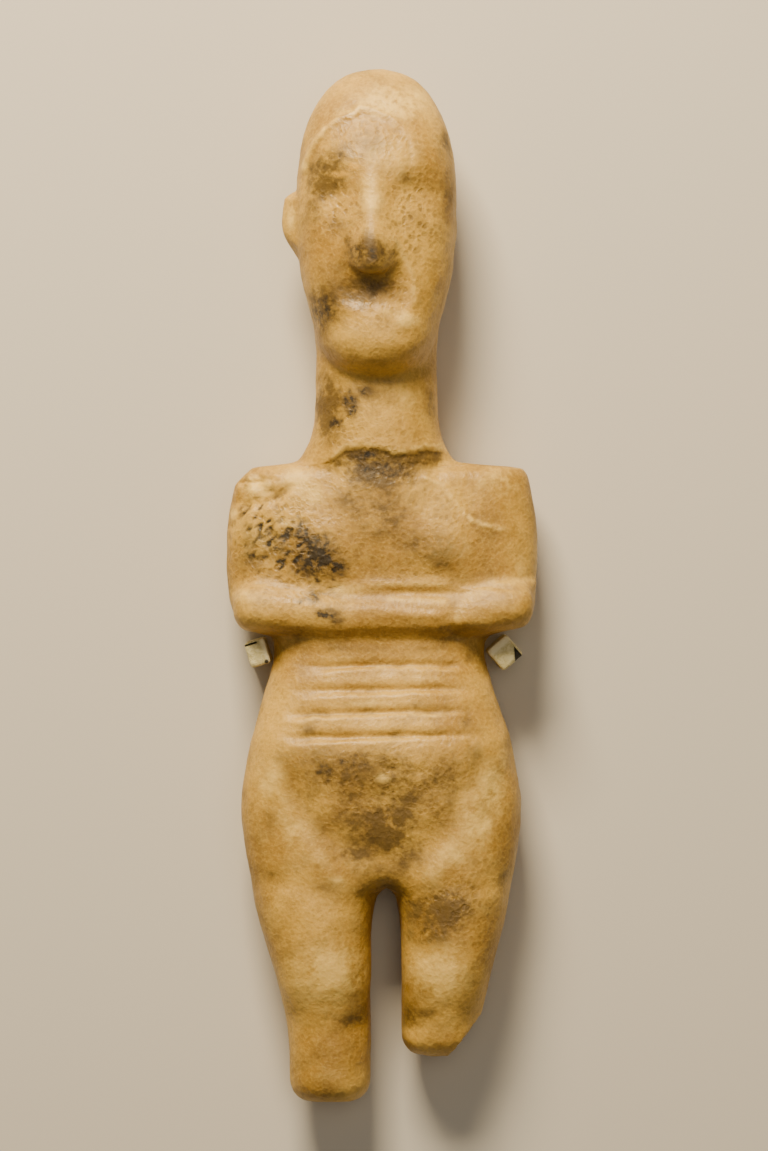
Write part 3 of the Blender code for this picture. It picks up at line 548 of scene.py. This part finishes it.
# Besides rubbed stone these ovals hold painted highlights: on the crown and forehead (y 88 to 99.6), along the nose
# bridge (y 80.6), on the belly rolls below the creases (y -19 to -28.6) and on the knees (y about -80).
PALE_AND_HIGHLIGHT = [
    (2.8, 99.6, 11.0, 5.0, 0.85), (-7.2, 97.6, 3.0, 2.0, 0.70), (-2.0, 80.6, 3.4, 6.0, 0.66),
    (-4.5, 55.6, 4.6, 1.4, 0.30), (5.4, 54.8, 3.2, 2.0, 1.00),
    (0.4, 56.2, 4.2, 1.2, 0.36), (-6.5, 51.7, 4.4, 2.6, 0.30), (-19.0, 75.9, 1.6, 3.8, 0.60),
    (-17.6, 22.2, 3.6, 3.0, 0.90), (-15.4, 19.4, 4.4, 3.6, 0.70), (13.0, 29.0, 1.9, 1.2, 0.80),
    (5.5, 38.6, 3.6, 4.6, 0.42), (-26.5, 20.5, 4.4, 3.0, 0.82), (-30.9, 15.2, 1.0, 1.4, 0.90),
    (-19.9, 13.6, 5.0, 3.0, 0.50), (-28.6, -2.0, 3.4, 2.8, 0.46), (-24.0, 9.0, 9.0, 8.0, 0.40),
    (-6.6, -0.6, 6.0, 2.0, 0.56), (23.7, 21.8, 6.6, 4.2, 0.52),
    (29.0, 4.0, 2.6, 4.0, 0.36), (24.0, -2.4, 7.0, 2.4, 0.26), (-23.0, -40.0, 4.0, 7.0, 0.62),
    (-17.4, -50.5, 5.4, 5.4, 0.50), (15.0, -55.0, 5.0, 5.0, 0.46),
    (-17.0, -60.0, 5.0, 6.0, 0.16),
    (22.6, -42.2, 4.0, 8.0, 0.80), (19.4, -48.2, 5.0, 9.0, 0.72),
    (-9.1, -60.4, 2.4, 1.6, 0.46), (0.2, -39.4, 2.0, 1.3, 0.62), (-11.0, -80.6, 10.0, 8.0, 1.00),
    (11.6, -79.8, 8.2, 7.2, 0.90), (-12.0, -100.6, 6.0, 3.0, 0.30), (14.0, -90.0, 3.6, 3.4, 0.36),
    (-8.0, -19.0, 6.0, 1.6, 0.40), (8.5, -19.2, 7.0, 1.6, 0.36), (-3.0, -24.0, 9.0, 1.4, 0.40),
    (-2.0, -28.6, 9.0, 1.4, 0.34), (2.0, 88.0, 9.0, 6.0, 0.40),
]
CRUST = [(-8.8, 84.4, 3.0, 0.9, 0.85), (-5.8, 86.0, 1.9, 0.9, 1.00)]
SPECKLED = [
    (-20.0, 8.0, 14.0, 13.0, 1.00), (5.5, 76.0, 6.0, 12.0, 1.00), (11.0, 12.0, 14.0, 9.0, 0.40), (-9.0, 77.0, 7.0, 9.0, 0.80),
    (0.0, 60.0, 9.0, 8.0, 0.60), (-9.0, 34.0, 5.0, 8.0, 0.80), (0.0, 26.0, 11.0, 6.0, 0.70),
    (5.0, 3.0, 12.0, 5.0, 0.40), (0.0, 92.0, 14.0, 8.0, 0.50), (0.0, -40.0, 18.0, 12.0, 0.50),
    (14.0, -66.0, 9.0, 8.0, 0.80), (-12.0, 57.0, 4.0, 5.0, 0.80),
]


def store(name, amounts):
    """Keeps one value for each point on the mesh, for the material to read."""
    layer = stone_mesh.attributes.new(name, "FLOAT", "POINT")
    layer.data.foreach_set("value", np.clip(amounts, 0, 1).astype(np.float32))
    print(name, "covers", round(100 * float((amounts > 0.4).mean()), 1), "% of the points")


def spread(ovals):
    """The strongest of the ovals at each point."""
    return np.maximum.reduce([spot(*oval[:4]) * oval[4] for oval in ovals])


front = fade(normals[:, 2], -0.15, 0.30)
slow = stone_noise(8.0, 14)
# Painted highlights on the belly rolls, the collar crack's upper lip and every ridge of the skin; the other lines make
# raised edges paler.
pale_edges_and_painted_highlights = [0.42 * crease_light, 0.6 * collar_light, 0.8 * arch * (0.8 + 0.5 * ragged), 0.22 * ridges * (1 - spot(-2.5, 68.0, 6.0, 5.0))]
pale_edges_and_painted_highlights += [0.45 * hill(off_line(line) + 0.3 * waver, 0.7) * front for line in FINGERS[:2]]
pale_edges_and_painted_highlights += [0.40 * hill(off_line(ELBOW_EDGE), 1.6) * front, 0.55 * hill(off_line(CHEST_RIDGE), 0.5) * front]
pale_edges_and_painted_highlights += [0.40 * hill(off_line(CHEEK_FOLD), 0.9) * front]
pale_edges_and_painted_highlights += [0.42 * hill(off_line(line), 3.0) * front * (0.8 + 0.8 * slow) for line in THIGH_TOPS]
# Painted shade: in the creases, on the band below the collar crack, in every hollow, and on the sides, darker the more
# they turn from the camera. The two wedges and the pits are stains.
stains_and_painted_shade = [0.30 * crease_shade, 0.70 * collar_shade, 0.22 * hollows]
stains_and_painted_shade += [0.46 * inside(BELLY_WEDGE, 4.0) * (0.95 + 0.4 * slow), 0.50 * inside(CHEST_WEDGE, 3.5)]
stains_and_painted_shade += [0.16 * (1 - fade(normals[:, 2], 0.05, 0.75)), 0.95 * pitted * pits]
store("soot_and_painted_shade", np.maximum(spread(SOOT_AND_SHADE), 0.92 * pitted * pits))
store("patina_and_painted_shade", np.maximum.reduce([spread(PATINA_AND_SHADE)] + stains_and_painted_shade))
store("pale_and_painted_highlight", np.maximum.reduce([spread(PALE_AND_HIGHLIGHT)] + pale_edges_and_painted_highlights))
store("crust", spread(CRUST))
store("speckled", spread(SPECKLED))

# %% [markdown]
# ## Marble
#
# The stone is coarse white island marble, smoothed with emery and then yellowed in the ground.
# That gives the eye a waxy, slightly see-through skin, a honey ground with cream clouds, and
# crystals of 1 to 1.5 mm that show as soft mottling. Marble bends light by about 1.55. Light that
# enters it comes out a few millimetres away and redder, so a little of it is given to subsurface
# scattering.

# %% Make the marble
CLOUD = 16 * MM
PATCH = 6 * MM
FRECKLE = 1.4 * MM
CRYSTAL = 1.1 * MM
GRAIN = 0.6 * MM
HONEY, CREAM, TAN = "#AC8331", "#D8AE4E", "#7C5E20"
PATINA_AND_SHADE_BROWN, SOOT_AND_SHADE_FILM, SOOT_AND_SHADE_BLACK, RUBBED_AND_HIGHLIGHT_CREAM = "#574216", "#48371A", "#1E1910", "#F4CF70"
CRUST_YELLOW, FRECKLE_BROWN = "#D6A63E", "#5E4519"

marble = bpy.data.materials.new("worn_honey_marble")
marble.use_nodes = True
tree = marble.node_tree
skin = tree.nodes["Principled BSDF"]
place = add_node(tree, "ShaderNodeTexCoord").outputs["Object"]


def layer(name):
    """A value stored on the mesh's points."""
    return add_node(tree, "ShaderNodeAttribute", {"attribute_name": name}).outputs["Fac"]


def ranged(source, start, end, least=0.0, most=1.0, ease="LINEAR"):
    """The value stretched from one range to another and held at its ends."""
    values = {"From Min": start, "From Max": end, "To Min": least, "To Max": most}
    made = add_node(tree, "ShaderNodeMapRange", {"interpolation_type": ease}, values, {"Value": source})
    return made.outputs["Result"]


def shaped(source, start, end, most=1.0):
    """A smooth rise of a value, from nothing at start to the most at end."""
    return ranged(source, start, end, 0.0, most, "SMOOTHSTEP")


def maths(operation, first, second):
    """The result of one sum on two values or sockets."""
    made = add_node(tree, "ShaderNodeMath", {"operation": operation})
    for number, part in enumerate((first, second)):
        if isinstance(part, (int, float)):
            made.inputs[number].default_value = part
        else:
            tree.links.new(part, made.inputs[number])
    return made.outputs[0]


def mottle(size, detail, roughness, distortion=0.0):
    """A noise whose patches are about this size, stretched to run from 0 to 1."""
    values = {"Scale": 1 / size, "Detail": detail, "Roughness": roughness, "Distortion": distortion}
    made = add_node(tree, "ShaderNodeTexNoise", values=values, links={"Vector": place})
    return ranged(made.outputs["Fac"], 0.33, 0.67)


cloud = mottle(CLOUD, 3.0, 0.5)
patch = mottle(PATCH, 4.0, 0.55)
freckle = mottle(FRECKLE, 3.0, 0.6)
grain = mottle(GRAIN, 2.0, 0.6)
bent = add_node(tree, "ShaderNodeTexNoise", values={"Scale": 1 / (2 * CRYSTAL), "Detail": 1.0}, links={"Vector": place})
shifts = add_node(tree, "ShaderNodeVectorMath", {"operation": "SCALE"}, {"Scale": 1.2 * CRYSTAL}, {0: bent.outputs["Color"]})
bent_place = add_node(tree, "ShaderNodeVectorMath", {"operation": "ADD"}, links={0: place, 1: shifts.outputs[0]}).outputs[0]
cells = add_node(tree, "ShaderNodeTexVoronoi", values={"Scale": 1 / CRYSTAL}, links={"Vector": bent_place})
cell_rim = shaped(cells.outputs["Distance"], 0.25, 0.75)
cell_tone = add_node(tree, "ShaderNodeSeparateColor", links={"Color": cells.outputs["Color"]}).outputs["Red"]


def broken(name, rough, least, greatest, start, end, most):
    """A stored layer, such as a stain or painted shade, made weaker and stronger by a noise, so that it is ragged and
    grainy.
    """
    return shaped(maths("MULTIPLY", layer(name), ranged(rough, 0, 1, least, greatest)), start, end, most)


def over(under, colour, amount):
    """Lays one colour over another, by an amount."""
    links = {UNDER: under, FACTOR: amount}
    return add_node(tree, "ShaderNodeMix", COLOURS, {OVER: linear(colour)}, links).outputs[MIXED]


plain_honey = add_node(tree, "ShaderNodeRGB")
plain_honey.outputs[0].default_value = linear(HONEY)
colour = over(plain_honey.outputs[0], CREAM, shaped(cloud, 0.05, 0.95, 0.90))
colour = over(colour, TAN, shaped(patch, 0.50, 1.05, 0.40))
cell_middle = maths("SUBTRACT", 1.0, cell_rim)
colour = over(colour, TAN, maths("MULTIPLY", shaped(cell_tone, 0.35, 1.0, 0.22), cell_middle))
colour = over(colour, CREAM, maths("MULTIPLY", cell_rim, shaped(freckle, 0.2, 0.8, 0.26)))
colour = over(colour, TAN, shaped(grain, 0.45, 0.05, 0.20))
colour = over(colour, RUBBED_AND_HIGHLIGHT_CREAM, shaped(grain, 0.55, 0.95, 0.14))
specks = maths("MULTIPLY", maths("MULTIPLY", cell_middle, shaped(cell_tone, 0.1, 0.8)), layer("speckled"))
colour = over(colour, FRECKLE_BROWN, maths("MULTIPLY", specks, ranged(patch, 0, 1, 0.20, 0.85)))
cloudy = maths("ADD", maths("MULTIPLY", patch, 0.55), maths("MULTIPLY", freckle, 0.45))
# Brown for the earth stains and for the painted shade laid into the same layer.
colour = over(colour, PATINA_AND_SHADE_BROWN, broken("patina_and_painted_shade", cloudy, 0.20, 1.90, 0.05, 0.88, 0.86))
colour = over(colour, CRUST_YELLOW, broken("crust", freckle, 0.2, 1.8, 0.15, 0.80, 0.92))
# Cream for rubbed stone and for the painted highlights laid into the same layer.
colour = over(colour, RUBBED_AND_HIGHLIGHT_CREAM, broken("pale_and_painted_highlight", cloudy, 0.30, 1.80, 0.06, 0.92, 0.86))
# Soot, and on the nose tip painted shade, as a thin film and as black.
colour = over(colour, SOOT_AND_SHADE_FILM, broken("soot_and_painted_shade", patch, 0.7, 1.3, 0.04, 0.72, 0.68))
colour = over(colour, SOOT_AND_SHADE_BLACK, broken("soot_and_painted_shade", freckle, 0.1, 1.70, 0.26, 0.95, 0.88))
tree.links.new(colour, skin.inputs["Base Color"])

tree.links.new(ranged(patch, 0, 1, 0.42, 0.60), skin.inputs["Roughness"])
skin.inputs["IOR"].default_value = 1.55
skin.inputs["Subsurface Weight"].default_value = 0.18
skin.inputs["Subsurface Radius"].default_value = (1.0, 0.75, 0.40)
skin.inputs["Subsurface Scale"].default_value = 1.2 * MM

fine = maths("ADD", maths("MULTIPLY", cell_rim, 0.7), maths("MULTIPLY", grain, 0.5))
relief = add_node(tree, "ShaderNodeBump", values={"Strength": 0.42, "Distance": 0.12 * MM}, links={"Height": fine})
hollow = maths("MULTIPLY", specks, ranged(freckle, 0, 1, 1.0, 0.2))
pit_values = {"Strength": 0.6, "Distance": 0.26 * MM}
pit_links = {"Height": hollow, "Normal": relief.outputs["Normal"]}
worn = add_node(tree, "ShaderNodeBump", {"invert": True}, pit_values, pit_links)
tree.links.new(worn.outputs["Normal"], skin.inputs["Normal"])
print("marble nodes:", len(tree.nodes))

# %% Put the stone in the solid's place
def show(mesh, name, node, material):
    """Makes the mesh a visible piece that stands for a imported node."""
    mesh.materials.clear()
    mesh.materials.append(material)
    mesh.shade_smooth()
    piece = bpy.data.objects.new(name, mesh)
    bpy.context.collection.objects.link(piece)
    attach(piece, "root")
    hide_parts(node)
    return piece


stone = show(stone_mesh, "figurine_stone", "figurine", marble)
print("triangles:", sum(len(face.vertices) - 2 for face in stone_mesh.polygons))

# %% [markdown]
# ## The pegs
#
# Each peg is a square pin in a cream sleeve that has wrinkled as it aged. The imported solid already
# has the right size, turn and rounded edges, so its faces are cut finer and pushed in a little by a
# noise, which gives the wrinkles. On the right peg a fold of the sleeve stands off one edge, and the
# slit under it is painted dark as shade. On the left one the sleeve is torn at a corner and shows its
# dark core.

# %% Wrinkle, fold and tear the sleeves
PEG_CUTS = 13
WRINKLE = 1.3
WRINKLE_DEPTH = 0.16


def sleeve(node, degrees):
    """The peg's own solid with finer faces, its points, and how far each lies along its two sides."""
    form = bmesh.new()
    form.from_mesh(quad_cage(node))
    bmesh.ops.subdivide_edges(form, edges=form.edges, cuts=PEG_CUTS, use_grid_fill=True)
    mesh = bpy.data.meshes.new(node + "_sleeve")
    form.to_mesh(mesh)
    form.free()
    places = read(mesh, "co") / MM
    crumple = np.array([noise.fractal(Vector(place) / WRINKLE, 1.0, 2.0, 3) for place in places])
    upper = fade(places[:, 2], 2.0, 12.0)
    places -= read(mesh, "normal") * (WRINKLE_DEPTH * upper * (0.5 + 0.5 * crumple))[:, None]
    middle = (places.min(axis=0) + places.max(axis=0)) / 2
    aside, above = (places - middle)[:, :2].T
    turn = math.radians(degrees)
    along = aside * math.cos(turn) + above * math.sin(turn)
    up = above * math.cos(turn) - aside * math.sin(turn)
    return mesh, places, along + 0.12 * crumple, up + 0.12 * crumple


def finish_sleeve(mesh, places, dark_core_and_slit_shade, strip):
    """Writes the points back, with the dark core, the painted shade of a slit and the paler strip as values for the
    material.
    """
    mesh.vertices.foreach_set("co", (places * MM).ravel())
    for name, amounts in (("dark_core_and_slit_shade", dark_core_and_slit_shade), ("strip", strip)):
        mesh.attributes.new(name, "FLOAT", "POINT").data.foreach_set("value", amounts.astype(np.float32))
    mesh.update()
    print(mesh.name, "faces:", len(mesh.polygons), "dark points:", int((dark_core_and_slit_shade > 0.5).sum()))


right_sleeve, places, along, up = sleeve("right_peg", 17)
top = fade(places[:, 2], 14.5, 16.5)
gap = hill(up - 2.15, 0.20) * (1 - fade(along, 0.2, 0.9)) * top
burn = hill(np.hypot(along - 1.3, up + 2.3), 0.5) * top
places[:, 2] -= 0.9 * gap
# The dark value is a dark spot and, in the slit under the fold, painted shade.
finish_sleeve(right_sleeve, places, np.maximum(gap, burn), fade(along, 1.0, 1.9))

left_sleeve, places, along, up = sleeve("left_peg", 41)
top = fade(places[:, 2], 14.5, 16.5)
torn = fade(0.8 * (along - 2.2) - 0.6 * (up + 0.2), -0.05, 0.2) * (1 - fade(along, 2.15, 2.35)) * top
places[:, 2] -= 1.0 * torn + 0.12 * top * (1 - fade(up, 1.1, 1.3))
finish_sleeve(left_sleeve, places, torn, fade(up, 1.1, 1.4))

# %% [markdown]
# ## Cream sleeve
#
# The sleeve is a soft plastic, once white and now cream. To the eye it is matt and a little uneven,
# with a paler band along one side of each end. Its torn core is near black, and the slit under the
# fold is painted near black as shade. Plastics bend light by about 1.5.

# %% Make the sleeve's material
sleeve_paint = bpy.data.materials.new("aged_cream_plastic_sleeve")
sleeve_paint.use_nodes = True
tree = sleeve_paint.node_tree
sleeve_skin = tree.nodes["Principled BSDF"]
place = add_node(tree, "ShaderNodeTexCoord").outputs["Object"]
crumple = mottle(0.9 * MM, 3.0, 0.6, 1.0)
tone = add_node(tree, "ShaderNodeRGB")
tone.outputs[0].default_value = linear("#CFC389")
tone = over(tone.outputs[0], "#EDE3B4", shaped(crumple, 0.2, 0.9, 0.7))
tone = over(tone, "#F6EFCB", maths("MULTIPLY", layer("strip"), 0.75))
# Near black for the torn core and for the painted shade in the slit under the fold.
tone = over(tone, "#17120C", shaped(layer("dark_core_and_slit_shade"), 0.2, 0.7, 0.95))
tree.links.new(tone, sleeve_skin.inputs["Base Color"])
sleeve_skin.inputs["Roughness"].default_value = 0.55
sleeve_skin.inputs["IOR"].default_value = 1.5
creased = add_node(tree, "ShaderNodeBump", values={"Strength": 0.6, "Distance": 0.12 * MM}, links={"Height": crumple})
tree.links.new(creased.outputs["Normal"], sleeve_skin.inputs["Normal"])
show(right_sleeve, "right_peg_sleeve", "right_peg", sleeve_paint)
show(left_sleeve, "left_peg_sleeve", "left_peg", sleeve_paint)
print("sleeve nodes:", len(tree.nodes))
